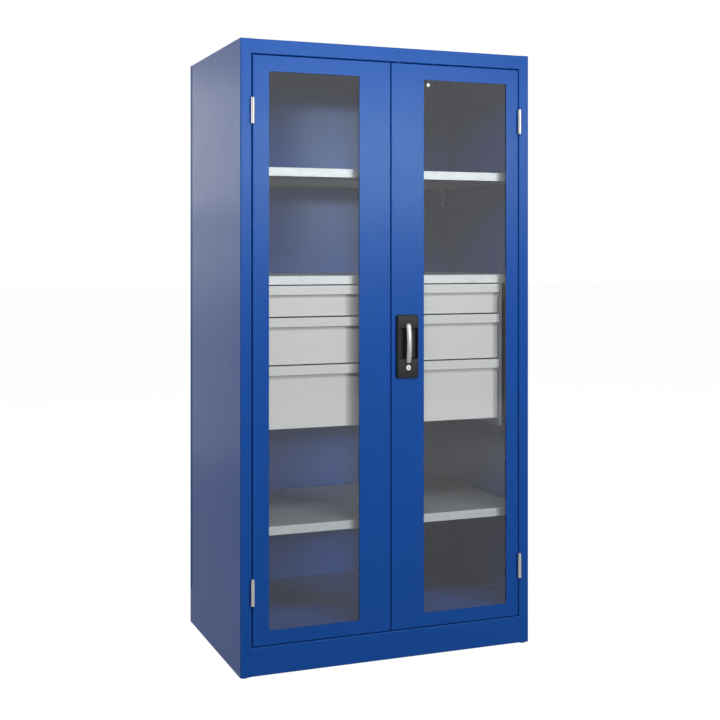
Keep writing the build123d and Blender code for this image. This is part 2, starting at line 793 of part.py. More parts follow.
def upper_rod():
    low = lever_axis_z - lead_teeth * pi * gear_module
    tip = rail_bottom - rod_end_gap
    bar = flat_rod(upper_rod_edge - rod_width, low, tip, tip)
    teeth = Pos(lock_x - pinion_radius, y(rod_rear), lever_axis_z) * rack(-lead_teeth, rack_teeth)
    return bar + teeth


def lower_rod():
    high = lever_axis_z + lead_teeth * pi * gear_module
    tip = plinth + rod_end_gap
    bar = flat_rod(lower_rod_edge, tip, high, tip)
    teeth = mirror(rack(lead_teeth - rack_teeth, rack_teeth), about=Plane.YZ)
    return bar + Pos(lock_x + pinion_radius, y(rod_rear), lever_axis_z) * teeth


def rod_guide(x, z):
    """Strap that bridges a rod whose left edge is at x, with a foot on each side."""
    inner0, inner1 = x - rod_clearance, x + rod_width + rod_clearance
    top = rod_rear + rod_clearance + guide_sheet
    base = channel_depth
    x0, x1 = inner0 - guide_sheet, inner1 + guide_sheet
    strap = block(x0, x1, base, top, z - guide_height / 2, z + guide_height / 2)
    strap -= block(inner0, inner1, base - beyond, top - guide_sheet, z - guide_height, z + guide_height)
    for foot0, foot1 in ((x0 - guide_foot, x0), (x1, x1 + guide_foot)):
        strap += block(foot0, foot1, base, base + guide_sheet, z - guide_height / 2, z + guide_height / 2)
    return strap


def rod_guides():
    upper = [(upper_rod_edge - rod_width, z) for z in (case_top + guide_lock_distance, door_top - guide_end_distance)]
    lower = [(lower_rod_edge, z) for z in (door_bottom + guide_end_distance, case_bottom - guide_lock_distance)]
    return [rod_guide(x, z) for x, z in upper + lower]


def keeper(x, z0):
    """Stiffening plate behind a rail, pierced for the rod."""
    flat = block(x - keeper_margin, x + rod_width + keeper_margin, bend + fit, rebate - fit, z0,
                 z0 + keeper_thickness)
    return flat - rod_hole(x, z0 - beyond, z0 + keeper_thickness + beyond)


def rod_keepers():
    upper = keeper(upper_rod_edge - rod_width, rail_bottom + sheet + fit)
    lower = keeper(lower_rod_edge, plinth - sheet - fit - keeper_thickness)
    return [upper, lower]


# Drawer block
def block_side():
    """Side plate of the drawer block: its front edge is turned outwards, and it hangs in the shelf above."""
    rear = shelf_rear - block_rear_gap
    plan = [(block_half + block_front_flange, block_front), (block_half, block_front), (block_half, rear)]
    hung = upright(plan, block_sheet, 0, Side.RIGHT, block_bottom, block_top)
    inside_front = shelf_front + shelf_return + block_rear_gap
    inside_rear = shelf_rear - shelf_return - block_rear_gap
    under = middle_shelf_top - shelf_sheet - fit
    hung += block(block_half, block_half + block_sheet, inside_front, inside_rear, block_top - block_sheet, under)
    hung += block(block_half, block_half + block_top_flange, inside_front, inside_rear, under - block_sheet, under)
    return_top = middle_shelf_top - shelf_edge + shelf_sheet + fit
    for back0, back1 in ((inside_front - block_tongue, inside_front), (inside_rear, inside_rear + block_tongue)):
        hung += block(block_half, block_half + block_sheet, back0, back1, return_top, under)
    return hung


def block_tie():
    """Channel that holds the rear lower corners of the block's sides together."""
    rear = shelf_rear - block_rear_gap
    low = block_bottom + tie_rise
    points = [(rear - tie_depth, low), (rear, low), (rear, low + tie_height), (rear - tie_depth, low + tie_height)]
    return crosswise(points, block_sheet, 0, Side.LEFT, block_half - fit)


def runner_member(web, tip, half_height, side, z, back0, back1):
    """A C section on its side: the web stands at one X and the lips reach to another."""
    points = [(tip, z + half_height), (web, z + half_height), (web, z - half_height), (tip, z - half_height)]
    return along_depth(points, runner_sheet, 0, side, back0, back1)


def outer_runner(z):
    return runner_member(runner_web, runner_web - runner_lip, runner_height / 2, Side.RIGHT, z, runner_start,
                         runner_start + runner_length)


def middle_runner(z):
    web = runner_web - runner_sheet - runner_nest
    half_height = runner_height / 2 - runner_sheet - runner_gap
    return runner_member(web, web - runner_lip, half_height, Side.RIGHT, z, runner_start + runner_nest,
                         runner_start + runner_length - runner_nest)


def inner_runner(z):
    """The member on the drawer: its lips reach outwards into the middle member."""
    web = drawer_body_half() + fit
    middle_web = runner_web - runner_sheet - runner_nest
    half_height = runner_height / 2 - 2 * runner_sheet - 2 * runner_gap
    return runner_member(web, middle_web - runner_sheet - runner_nest, half_height, Side.LEFT, z,
                         runner_start, runner_start + runner_length)


def drawer_body_half():
    """Half the width of a drawer's body between its runners."""
    middle_web = runner_web - runner_sheet - runner_nest
    return middle_web - runner_lip - runner_sheet - runner_nest


def drawer_levels():
    """Name, bottom and top of each drawer front, from the top down."""
    levels = []
    top = block_top - drawer_top_gap
    for name, pitch in drawer_pitches.items():
        levels.append((name, top - pitch + drawer_gap, top))
        top -= pitch
    return levels


def drawer_tray(bottom, top):
    """Open tray with its folded front: the front is wider than the body and hides the runners."""
    front = drawer_front_back
    inner_front = front + drawer_front_depth
    panel = block(-drawer_half, drawer_half, front, inner_front, bottom, top)
    panel = chamfer(edges_at(panel, front), drawer_front_edge)
    panel -= block(-drawer_half + drawer_sheet, drawer_half - drawer_sheet, front + drawer_sheet, inner_front + beyond,
                   bottom + drawer_sheet, top - drawer_sheet)
    body = drawer_body_half()
    low, high = bottom + drawer_floor_rise, top - drawer_wall_drop
    rear = front + drawer_depth
    tray = block(-body, body, front + drawer_sheet / 2, rear, low, high)
    tray -= block(-body + drawer_sheet, body - drawer_sheet, front + drawer_sheet, rear - drawer_sheet,
                  low + drawer_sheet, high + beyond)
    return panel + tray


def drawer_grip(top):
    """Folded grip strip that overhangs the front, closed at each end by a shaped cheek."""
    seat = drawer_front_back - fit
    points = [(seat, top), (block_front, top), (block_front, top - grip_height)]
    strip = crosswise(points, grip_sheet, grip_bend, Side.LEFT, drawer_half)
    strip += block(-drawer_half, drawer_half, block_front, block_front + grip_hem, top - grip_height,
                   top - grip_height + grip_sheet)
    near = y(block_front + grip_sheet / 2)
    far = y(seat)
    high = top - grip_sheet / 2
    low = top - grip_height
    reach = far - near
    outline = Polyline((near, low + grip_sheet / 2), (near + reach / 6, low - cheek_drop / 4),
                       (far - reach / 6, low - 3 * cheek_drop / 4), (far, low - cheek_drop), (far, high),
                       (near + grip_bend, high), (near, high - grip_bend), close=True)
    cheek = Pos(drawer_half - fit - grip_sheet, 0, 0) * extrude(Plane.YZ * make_face(outline), grip_sheet)
    return strip + cheek + left(cheek)


def runner_height_of(bottom, top):
    """Height of a drawer's runner axis."""
    return (bottom + top) / 2


os.makedirs("parts", exist_ok=True)

right_side = side_panel()
save("side_panel_right", right_side)
save("side_panel_left", left(right_side))
save("top_panel", top_panel())
save("floor_panel", floor_panel())
save("plinth_front", plinth_front())
save("back_panel", back_panel())
save("front_post_right", front_post())
save("front_post_left", left(front_post()))
save("rear_post_right", rear_post())
save("rear_post_left", left(rear_post()))
save("foot_plates", foot_plates())
save("floor_glides", glides())
save("shelf_upper", shelf(upper_shelf_top))
save("shelf_middle", shelf(middle_shelf_top))
save("shelf_lower", shelf(lower_shelf_top))
save("shelf_clips", shelf_clips())

save("left_door_skin", left(door_skin(left_window_margins)))
save("left_door_channels", [left(solid) for solid in door_channels(whole_span)])
save("right_door_skin", right_door_skin())
save("right_door_channels", door_channels(spans_round_lock))
save("left_door_pane", left(pane(left_window_margins)))
save("left_door_gasket", left(gasket(left_window_margins)))
save("left_door_pane_strips", [left(solid) for solid in pane_strips(left_window_margins)])
save("right_door_pane", pane(right_window_margins))
save("right_door_gasket", gasket(right_window_margins))
save("right_door_pane_strips", pane_strips(right_window_margins))

save("frame_hinge_halves", both_sides(frame_hinge_halves()))
save("hinge_pins", both_sides(hinge_pins()))
save("left_door_hinge_halves", [left(solid) for solid in door_hinge_halves()])
save("right_door_hinge_halves", door_hinge_halves())
save("door_buffers", door_buffers())

save("lock_housing", lock_housing())
save("lock_case", lock_case())
save("lock_case_screws", case_screws())
save("lock_cylinder", lock_cylinder())
save("lock_core", lock_core())
save("lever", lever())
save("lever_spindle", lever_spindle())
save("upper_rod", upper_rod())
save("lower_rod", lower_rod())
save("rod_guides", rod_guides())
save("rod_keepers", rod_keepers())

save("drawer_block_side_right", block_side())
save("drawer_block_side_left", left(block_side()))
save("drawer_block_tie", block_tie())
levels = drawer_levels()
axes = [runner_height_of(bottom, top) for _, bottom, top in levels]
save("runner_outer_members", both_sides([outer_runner(z) for z in axes]))
for (name, bottom, top), axis in zip(levels, axes):
    save(f"{name}_tray", drawer_tray(bottom, top))
    save(f"{name}_grip", drawer_grip(top))
    save(f"{name}_middle_runners", both_sides([middle_runner(axis)]))
    save(f"{name}_inner_runners", both_sides([inner_runner(axis)]))
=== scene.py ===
import json
import math

import bmesh
import bpy
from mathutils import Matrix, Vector


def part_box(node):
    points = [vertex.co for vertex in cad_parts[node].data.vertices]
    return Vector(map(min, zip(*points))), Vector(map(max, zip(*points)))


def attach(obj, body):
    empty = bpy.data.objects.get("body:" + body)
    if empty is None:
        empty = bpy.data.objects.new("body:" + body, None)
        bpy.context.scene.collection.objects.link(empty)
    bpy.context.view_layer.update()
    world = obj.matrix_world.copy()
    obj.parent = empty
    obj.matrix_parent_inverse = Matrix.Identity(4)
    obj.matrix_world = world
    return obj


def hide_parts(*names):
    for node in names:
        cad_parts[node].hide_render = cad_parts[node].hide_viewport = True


# Finishes and fine parts of a two-door steel storage cabinet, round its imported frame.
# Metres. The doors face -Y, X runs to the right as seen from the front, and the floor is at Z = 0.
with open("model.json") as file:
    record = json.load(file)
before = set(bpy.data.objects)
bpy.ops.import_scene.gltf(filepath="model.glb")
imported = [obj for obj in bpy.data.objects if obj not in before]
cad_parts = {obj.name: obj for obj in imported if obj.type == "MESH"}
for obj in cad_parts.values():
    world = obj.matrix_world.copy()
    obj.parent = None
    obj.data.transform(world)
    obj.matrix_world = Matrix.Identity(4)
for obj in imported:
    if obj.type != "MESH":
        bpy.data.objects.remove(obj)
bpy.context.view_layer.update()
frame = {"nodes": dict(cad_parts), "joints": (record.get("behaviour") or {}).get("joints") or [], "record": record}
record = frame["record"]
joints = {joint["name"]: joint for joint in frame["joints"]}

mm = 0.001
front_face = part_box("left_door_skin")[0].y
white = "#FFFFFF"
# Edges that turn by less than this many degrees are shaded smooth
crease, soft_crease = 40, 60


# Colour and node helpers
def linear(hex_colour):
    """A shader colour from an sRGB hex value."""
    channels = [int(hex_colour[i:i + 2], 16) / 255 for i in (1, 3, 5)]
    return tuple(c / 12.92 if c <= 0.04045 else ((c + 0.055) / 1.055) ** 2.4 for c in channels) + (1.0,)


def add(tree, kind, inputs=None, **settings):
    """Add one node: settings are its own properties, inputs are values or outputs for its sockets."""
    made = tree.nodes.new("ShaderNode" + kind)
    for name, value in settings.items():
        setattr(made, name, value)
    for socket, value in (inputs or {}).items():
        if isinstance(value, bpy.types.NodeSocket):
            tree.links.new(value, made.inputs[socket])
        else:
            made.inputs[socket].default_value = value
    return made


def new_tree(name):
    """A new material and its empty node tree."""
    made = bpy.data.materials.new(name)
    made.use_nodes = True
    made.node_tree.nodes.clear()
    return made, made.node_tree


def blend(tree, factor, colour, other_colour):
    """The colour output of a mix between two sRGB colours."""
    mix = tree.nodes.new("ShaderNodeMix")
    mix.data_type = "RGBA"
    sockets = [socket for socket in mix.inputs if socket.enabled]
    tree.links.new(factor, sockets[0])
    sockets[1].default_value = linear(colour)
    sockets[2].default_value = linear(other_colour)
    return next(socket for socket in mix.outputs if socket.enabled)


def per_metre(size_mm):
    """A texture's scale for a pattern that repeats at a real size."""
    return 1 / (size_mm * mm)


# Finishes
def powder_coat(name, colour, deep_colour, roughness):
    """Powder coat on folded sheet: baked on in one layer, with a faint orange peel and an even sheen."""
    made, tree = new_tree(name)
    place = add(tree, "TexCoord").outputs["Object"]
    # The real peel is about 1.5 mm across. That is too fine to show from the photograph's distance, so it
    # is drawn at 5 mm.
    peel_mm = 5
    peel = add(tree, "TexNoise", {"Vector": place, "Scale": per_metre(peel_mm), "Detail": 2.0,
                                  "Roughness": 0.45})
    # Panels draw a little flatter or rounder between their folds, which bends reflections slowly.
    panel_mm = 420
    drawn = add(tree, "TexNoise", {"Vector": place, "Scale": per_metre(panel_mm), "Detail": 1.0})
    cloud_mm = 90
    cloud = add(tree, "TexNoise", {"Vector": place, "Scale": per_metre(cloud_mm), "Detail": 3.0})
    tone = blend(tree, cloud.outputs["Fac"], colour, deep_colour)
    gloss = add(tree, "MapRange", {"Value": cloud.outputs["Fac"], "To Min": roughness - 0.02,
                                   "To Max": roughness + 0.03})
    wave = add(tree, "Bump", {"Height": drawn.outputs["Fac"], "Strength": 0.25, "Distance": 0.6 * mm})
    skin = add(tree, "Bump", {"Height": peel.outputs["Fac"], "Strength": 0.12, "Distance": 0.08 * mm,
                              "Normal": wave.outputs["Normal"]})
    surface = add(tree, "BsdfPrincipled", {
        "Base Color": tone, "Roughness": gloss.outputs["Result"], "IOR": 1.27,
        "Specular Tint": linear("#E6FBFF"), "Normal": skin.outputs["Normal"]})
    add(tree, "OutputMaterial", {"Surface": surface.outputs["BSDF"]})
    return made


def galvanised_sheet():
    """Hot-dip galvanised sheet: zinc in flat crystals, a few of them brighter, on a slightly wavy sheet."""
    made, tree = new_tree("galvanised_sheet")
    place = add(tree, "TexCoord").outputs["Object"]
    crystal_mm = 9
    crystal = add(tree, "TexVoronoi", {"Vector": place, "Scale": per_metre(crystal_mm)})
    facet = add(tree, "SeparateColor", {"Color": crystal.outputs["Color"]})
    shade = blend(tree, facet.outputs["Red"], "#A9AEB1", "#B2B7B9")
    dull = add(tree, "MapRange", {"Value": facet.outputs["Green"], "To Min": 0.43, "To Max": 0.47})
    wave_mm = 150
    rolled = add(tree, "TexNoise", {"Vector": place, "Scale": per_metre(wave_mm), "Detail": 1.0})
    wavy = add(tree, "Bump", {"Height": rolled.outputs["Fac"], "Strength": 0.5, "Distance": 4 * mm})
    surface = add(tree, "BsdfPrincipled", {
        "Base Color": shade, "Metallic": 0.5, "Roughness": dull.outputs["Result"],
        "Normal": wavy.outputs["Normal"]})
    add(tree, "OutputMaterial", {"Surface": surface.outputs["BSDF"]})
    return made


def plated_metal(name, colour, other_colour, roughness, grain_mm):
    """Electroplated steel or brass: even and bright, with fine streaks of the drawn metal below."""
    made, tree = new_tree(name)
    place = add(tree, "TexCoord").outputs["Object"]
    streak = add(tree, "Mapping", {"Vector": place, "Scale": (1.0, 1.0, 0.12)})
    grain = add(tree, "TexNoise", {"Vector": streak.outputs["Vector"], "Scale": per_metre(grain_mm),
                                   "Detail": 3.0})
    shade = blend(tree, grain.outputs["Fac"], colour, other_colour)
    worn = add(tree, "MapRange", {"Value": grain.outputs["Fac"], "To Min": roughness - 0.05,
                                  "To Max": roughness + 0.07})
    surface = add(tree, "BsdfPrincipled", {
        "Base Color": shade, "Metallic": 1.0, "Roughness": worn.outputs["Result"]})
    add(tree, "OutputMaterial", {"Surface": surface.outputs["BSDF"]})
    return made


def spark_eroded_plastic(name, colour, other_colour, roughness, grain_mm, depth_mm):
    """Moulded polyamide from an eroded mould: a fine pebbled skin that breaks up its sheen."""
    made, tree = new_tree(name)
    place = add(tree, "TexCoord").outputs["Object"]
    pebble = add(tree, "TexNoise", {"Vector": place, "Scale": per_metre(grain_mm), "Detail": 2.0})
    shade = blend(tree, pebble.outputs["Fac"], colour, other_colour)
    skin = add(tree, "Bump", {"Height": pebble.outputs["Fac"], "Strength": 0.5, "Distance": depth_mm * mm})
    surface = add(tree, "BsdfPrincipled", {
        "Base Color": shade, "Roughness": roughness, "IOR": 1.36, "Normal": skin.outputs["Normal"]})
    add(tree, "OutputMaterial", {"Surface": surface.outputs["BSDF"]})
    return made


def satin_die_cast():
    """Zinc die casting under a satin silver coat: its flakes soften the highlight into a broad band."""
    made, tree = new_tree("satin_die_cast")
    place = add(tree, "TexCoord").outputs["Object"]
    flake_mm = 1.2
    flake = add(tree, "TexNoise", {"Vector": place, "Scale": per_metre(flake_mm), "Detail": 2.0})
    shade = blend(tree, flake.outputs["Fac"], "#A8AAAC", "#BFC0C1")
    surface = add(tree, "BsdfPrincipled", {
        "Base Color": shade, "Metallic": 0.85, "Roughness": 0.38, "Coat Weight": 0.25,
        "Coat Roughness": 0.25})
    add(tree, "OutputMaterial", {"Surface": surface.outputs["BSDF"]})
    return made


def acrylic_sheet():
    """Cast acrylic sheet: polished, clear with a slight smoke, and open to the lamps."""
    made, tree = new_tree("acrylic_sheet")
    place = add(tree, "TexCoord").outputs["Object"]
    ripple_mm = 260
    ripple = add(tree, "TexNoise", {"Vector": place, "Scale": per_metre(ripple_mm), "Detail": 1.0})
    cast = add(tree, "Bump", {"Height": ripple.outputs["Fac"], "Strength": 0.1, "Distance": 0.5 * mm})
    smoke = linear("#FBFCFC")
    clear = add(tree, "BsdfPrincipled", {
        "Base Color": smoke, "Roughness": 0.03, "IOR": 1.49, "Transmission Weight": 1.0,
        "Coat Weight": 0.08, "Coat Roughness": 0.03, "Coat IOR": 1.5,
        "Normal": cast.outputs["Normal"]})
    open_way = add(tree, "BsdfTransparent", {"Color": smoke})
    path = add(tree, "LightPath")
    # Light that reached the inside once goes straight out again, or the lamps would count twice in there.
    # A ray that the sheet itself has bent counts as glossy too, and still has to be bent back behind it.
    mirrored = add(tree, "Math", {0: path.outputs["Is Glossy Ray"], 1: path.outputs["Is Transmission Ray"]},
                   operation="SUBTRACT", use_clamp=True)
    inside = add(tree, "Math", {0: path.outputs["Is Diffuse Ray"], 1: mirrored.outputs["Value"]},
                 operation="ADD")
    passing = add(tree, "Math", {0: path.outputs["Is Shadow Ray"], 1: inside.outputs["Value"]},
                  operation="ADD", use_clamp=True)
    surface = add(tree, "MixShader", {0: passing.outputs["Value"], 1: clear.outputs["BSDF"],
                                      2: open_way.outputs["BSDF"]})
    add(tree, "OutputMaterial", {"Surface": surface.outputs["Shader"]})
    return made


finishes = {
    "blue_enamel": powder_coat("gentian_blue_powder_coat", "#0E4592", "#0D428D", 0.28),
    "grey_enamel": powder_coat("light_grey_powder_coat", "#C3C3C2", "#BFBFBE", 0.42),
    "galvanised_sheet": galvanised_sheet(),
    "zinc_plate": plated_metal("bright_zinc_plate", "#BFBBB7", "#CDC9C3", 0.36, grain_mm=3),
    "glide_plastic": spark_eroded_plastic("dark_glide_polyamide", "#1D2026", "#16181D", 0.55,
                                          grain_mm=1, depth_mm=0.05),
    "rubber": spark_eroded_plastic("black_sealing_rubber", "#17181A", "#1C1D1F", 0.7,
                                   grain_mm=2, depth_mm=0.05),
    "clear_pane": acrylic_sheet(),
    "black_moulding": spark_eroded_plastic("black_lock_polyamide", "#0E0F11", "#151618", 0.46,
                                           grain_mm=1.6, depth_mm=0.22),
    "satin_lever": satin_die_cast(),
    "nickel_plate": plated_metal("turned_nickel_plate", "#D6D5D2", "#E8E7E4", 0.22, grain_mm=2),
}


# Mesh helpers
def piece(name, body, slot, mesh_maker, stands_for):
    """A new object on a body, in a slot's finish, whose mesh the maker fills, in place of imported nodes."""
    mesh = bpy.data.meshes.new(name)
    shape = bmesh.new()
    mesh_maker(shape)
    bmesh.ops.recalc_face_normals(shape, faces=shape.faces)
    shape.to_mesh(mesh)
    shape.free()
    mesh.materials.append(finishes[slot])
    made = bpy.data.objects.new(name, mesh)
    bpy.context.scene.collection.objects.link(made)
    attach(made, body)
    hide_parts(*stands_for)
    return made


def smooth(made, angle):
    """Shade smooth across edges flatter than an angle in degrees."""
    limit = math.radians(angle)
    shape = bmesh.new()
    shape.from_mesh(made.data)
    for face in shape.faces:
        face.smooth = True
    for edge in shape.edges:
        edge.smooth = len(edge.link_faces) == 2 and edge.calc_face_angle(math.pi) < limit
    shape.to_mesh(made.data)
    shape.free()


def skin_loops(shape, loops, closed=False):
    """Join loops of equal count with quads: a closed ring of loops, or a shell capped at both ends."""
    rings = [[shape.verts.new(point) for point in loop] for loop in loops]
    pairs = list(zip(rings, rings[1:]))
    if closed:
        pairs.append((rings[-1], rings[0]))
    for ring, following in pairs:
        for i in range(len(ring)):
            j = (i + 1) % len(ring)
            shape.faces.new((ring[i], ring[j], following[j], following[i]))
    if not closed:
        shape.faces.new(rings[0])
        shape.faces.new(list(reversed(rings[-1])))


def quarter_turn(steps):
    """Angles from 0 to a right angle in equal steps."""
    return [math.pi / 2 * step / steps for step in range(steps + 1)]


def rounded_rectangle(width, height, radius, steps=8):
    """Points of a rounded rectangle round the origin, with equal counts at every size."""
    points = []
    for corner, (sx, sz) in enumerate(((1, 1), (-1, 1), (-1, -1), (1, -1))):
        cx, cz = sx * (width / 2 - radius), sz * (height / 2 - radius)
        for step in range(steps + 1):
            angle = math.pi / 2 * (corner + step / steps)
            points.append((cx + radius * math.cos(angle), cz + radius * math.sin(angle)))
    return points


def circle(radius, count):
    """Points of a circle round the origin."""
    turns = [2 * math.pi * i / count for i in range(count)]
    return [(radius * math.cos(turn), radius * math.sin(turn)) for turn in turns]


def polygon(half_flats, sides, count):
    """A regular polygon's outline, drawn with more points than it has corners."""
    points = []
    for i in range(count):
        angle = 2 * math.pi * i / count
        turn = angle % (2 * math.pi / sides) - math.pi / sides
        radius = half_flats / math.cos(turn)
        points.append((radius * math.cos(angle), radius * math.sin(angle)))
    return points


def facing(points, x, y, z):
    """Put a flat loop parallel to the front at a place."""
    return [Vector((x + px, y, z + pz)) for px, pz in points]


def level(points, x, y, z):
    """Put a flat loop parallel to the floor at a place."""
    return [Vector((x + px, y + py, z)) for px, py in points]


# Lock
lock_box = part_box("lock_housing")
cylinder_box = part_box("lock_cylinder")
lever_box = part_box("lever")
core_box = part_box("lock_core")
lock_x = (lock_box[0].x + lock_box[1].x) / 2
plate_front = lock_box[0].y
cylinder_z = joints["key_turn"]["pos_m"][2]

# Moulded housing: its own corners and front edge, and its finger recess
plate_corner, plate_edge = 7 * mm, 3.6 * mm
mouth_width, mouth_height, mouth_corner, mouth_lip = 66 * mm, 97 * mm, 2 * mm, 1.2 * mm
recess_depth, recess_taper, recess_corner = 24.3 * mm, 3 * mm, 2.5 * mm
tub_wall, tub_corner = 2 * mm, 4 * mm

# Lever: its two feet, the thickness of its ends, the finger space under its bow, and how far its faces
# fall from the middle to the rim. Each fullness is the pair of powers that shape that fall.
foot_height, end_thickness, finger_space = 16 * mm, 7.7 * mm, 7 * mm
back_fall, back_fullness = 1.5 * mm, (6, 0.5)
front_fall, front_fullness = 5.2 * mm, (2.6, 0.55)

# Cylinder and core
barrel_half_flats, barrel_sides = 7.6 * mm, 8
core_clearance, bore_depth, bore_ease, flange_edge = 0.1 * mm, 21 * mm, 0.3 * mm, 0.7 * mm
core_edge = 0.4 * mm
keyway_width, keyway_height, keyway_corner, keyway_depth = 1.8 * mm, 7.5 * mm, 0.5 * mm, 8 * mm


def housing_shell(shape):
    """Rounded plate with a deep tapered finger recess, and the tub of that recess behind the door."""
    width, height = lock_box[1].x - lock_box[0].x, lock_box[1].z - lock_box[0].z
    middle_z = (lock_box[0].z + lock_box[1].z) / 2
    openings = {opening["name"]: opening["box_m"] for opening in record["physics"]["openings"]}
    recess_box = openings["finger_recess"]
    recess_z = (recess_box[0][2] + recess_box[1][2]) / 2
    floor_y = plate_front + recess_depth
    floor_edge = 2 * mouth_lip
    turns = quarter_turn(6)

    def loop(wide, high, corner, y, z):
        return facing(rounded_rectangle(wide, high, corner), lock_x, y, z)

    loops = [loop(width, height, plate_corner, front_face, middle_z)]
    for turn in turns:
        inset = plate_edge * (1 - math.cos(turn))
        loops.append(loop(width - 2 * inset, height - 2 * inset, plate_corner - inset,
                          plate_front + plate_edge * (1 - math.sin(turn)), middle_z))
    for turn in turns:
        outset = mouth_lip * (1 - math.sin(turn))
        loops.append(loop(mouth_width + 2 * outset, mouth_height + 2 * outset, mouth_corner + outset,
                          plate_front + mouth_lip * (1 - math.cos(turn)), recess_z))
    for turn in turns:
        inset = recess_taper + floor_edge * (1 - math.cos(turn))
        loops.append(loop(mouth_width - 2 * inset, mouth_height - 2 * inset, recess_corner,
                          floor_y - floor_edge * (1 - math.sin(turn)), recess_z))
    skin_loops(shape, loops)
    tub = (mouth_width - 2 * recess_taper + 2 * tub_wall,
           mouth_height - 2 * recess_taper + 2 * tub_wall, tub_corner)
    skin_loops(shape, [loop(*tub, front_face + tub_wall, recess_z),
                       loop(*tub, floor_y + tub_wall, recess_z)])


def lever_outline(reach, ends, straight_steps=24, round_steps=14):
    """A round-ended outline at a reach from the middle line: the points are X from the middle, and Z."""
    low, high, radius = ends
    straight = high - low - 2 * radius
    points = []
    for step in range(round_steps):
        angle = math.pi * step / round_steps
        points.append((reach * math.cos(angle), high - radius + reach * math.sin(angle)))
    for step in range(straight_steps):
        points.append((-reach, high - radius - straight * step / straight_steps))
    for step in range(round_steps):
        angle = math.pi * (1 + step / round_steps)
        points.append((reach * math.cos(angle), low + radius + reach * math.sin(angle)))
    for step in range(straight_steps):
        points.append((reach, low + radius + straight * step / straight_steps))
    return points


def bow(z, low, high, end_depth, middle_depth):
    """Depth of an arc that is end_depth at both ends and middle_depth half way, near enough a circle's."""
    share = (z - (low + high) / 2) / ((high - low) / 2)
    return end_depth + (middle_depth - end_depth) * max(0.0, 1 - share * share)


def fallen(fall, fullness, share):
    """How far a crowned face has fallen at a share of the way from its middle line to its rim."""
    bulge, roll = fullness
    return fall * (1 - (1 - share ** bulge) ** roll)


def lever_shell(shape):
    """Bowed grip: a round-ended bar on two feet, crowned in front and softly edged behind."""
    low, high = lever_box[0].z, lever_box[1].z
    radius = (lever_box[1].x - lever_box[0].x) / 2
    middle_x = (lever_box[0].x + lever_box[1].x) / 2
    seat = lever_box[1].y
    end_front, middle_front = seat - end_thickness, lever_box[0].y

    def back_depth(z):
        if not low + foot_height < z < high - foot_height:
            return seat
        return bow(z, low + foot_height, high - foot_height, seat, seat - finger_space)

    def front_depth(z):
        return bow(z, low, high, end_front, middle_front)

    # Shares of the way from the middle line to the rim, closer together near the rim
    shares = [0.02, 0.3, 0.55, 0.75, 0.88, 0.96, 1.0]
    outlines = [(share, lever_outline(radius * share, (low, high, radius))) for share in shares]
    loops = []
    for share, points in outlines:
        rise = fallen(back_fall, back_fullness, share)
        loops.append([Vector((middle_x + x, back_depth(z) - rise, z)) for x, z in points])
    for share, points in reversed(outlines):
        drop = fallen(front_fall, front_fullness, share)
        loops.append([Vector((middle_x + x, front_depth(z) + drop, z)) for x, z in points])
    skin_loops(shape, loops)


def cylinder_shell(shape):
    """Turned barrel with a soft-edged flange, bored for the core."""
    count = 64
    front, back = cylinder_box[0].y, cylinder_box[1].y
    flange = (cylinder_box[1].x - cylinder_box[0].x) / 2
    flats = polygon(barrel_half_flats, barrel_sides, count)
    bore = (core_box[1].x - core_box[0].x) / 2 + core_clearance
    rows = [(bore, front + bore_depth), (bore, front + bore_ease), (bore + bore_ease, front)]
    for turn in quarter_turn(4):
        rows.append((flange - flange_edge + flange_edge * math.sin(turn),
                     front + flange_edge * (1 - math.cos(turn))))
    rows.append((flange, plate_front))
    loops = [facing(circle(radius, count), lock_x, y, cylinder_z) for radius, y in rows]
    loops += [facing(flats, lock_x, plate_front, cylinder_z), facing(flats, lock_x, back, cylinder_z),
              facing(circle(bore, count), lock_x, back, cylinder_z)]
    skin_loops(shape, loops, closed=True)


def core_shell(shape):
    """Core with a soft front edge and an upright keyway."""
    count = 36
    front, back = core_box[0].y, core_box[1].y
    radius = (core_box[1].x - core_box[0].x) / 2
    way = rounded_rectangle(keyway_width, keyway_height, keyway_corner, steps=count // 4 - 1)
    rim = circle(radius, count)
    inner_rim = circle(radius - core_edge, count)
    rows = [(rim, back), (rim, front + core_edge), (inner_rim, front), (way, front),
            (way, front + keyway_depth)]
    skin_loops(shape, [facing(outline, lock_x, y, cylinder_z) for outline, y in rows])


lock_pieces = [
    ("moulded_lock_housing", "right_door", "black_moulding", housing_shell, "lock_housing", crease),
    ("bowed_lever", "turn_lever", "satin_lever", lever_shell, "lever", soft_crease),
    ("turned_lock_cylinder", "right_door", "nickel_plate", cylinder_shell, "lock_cylinder", crease),
    ("lock_core_with_keyway", "key_core", "nickel_plate", core_shell, "lock_core", crease),
]
for name, body, slot, maker, node, angle in lock_pieces:
    smooth(piece(name, body, slot, maker, [node]), angle)


# Hinges
hinge_x, hinge_y = joints["right_door_hinge"]["pos_m"][:2]
door_half_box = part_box("right_door_hinge_halves")
frame_half_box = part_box("frame_hinge_halves")
knuckle_length, knuckle_radius, knuckle_ease = 40 * mm, 6 * mm, 0.5 * mm
half_split = 0.15 * mm
pin_radius, pin_tip_radius = 2.5 * mm, 0.1 * mm
hinge_centres = (frame_half_box[0].z + knuckle_length, door_half_box[1].z - knuckle_length)
# A leaf reaches a little past the pin's line on the other half's side, and further on its own
short_reach, long_reach = 0.5 * mm, 1.5 * mm
frame_leaf = (hinge_x - short_reach, hinge_x + long_reach)
door_leaf = (hinge_x - long_reach, hinge_x + short_reach)


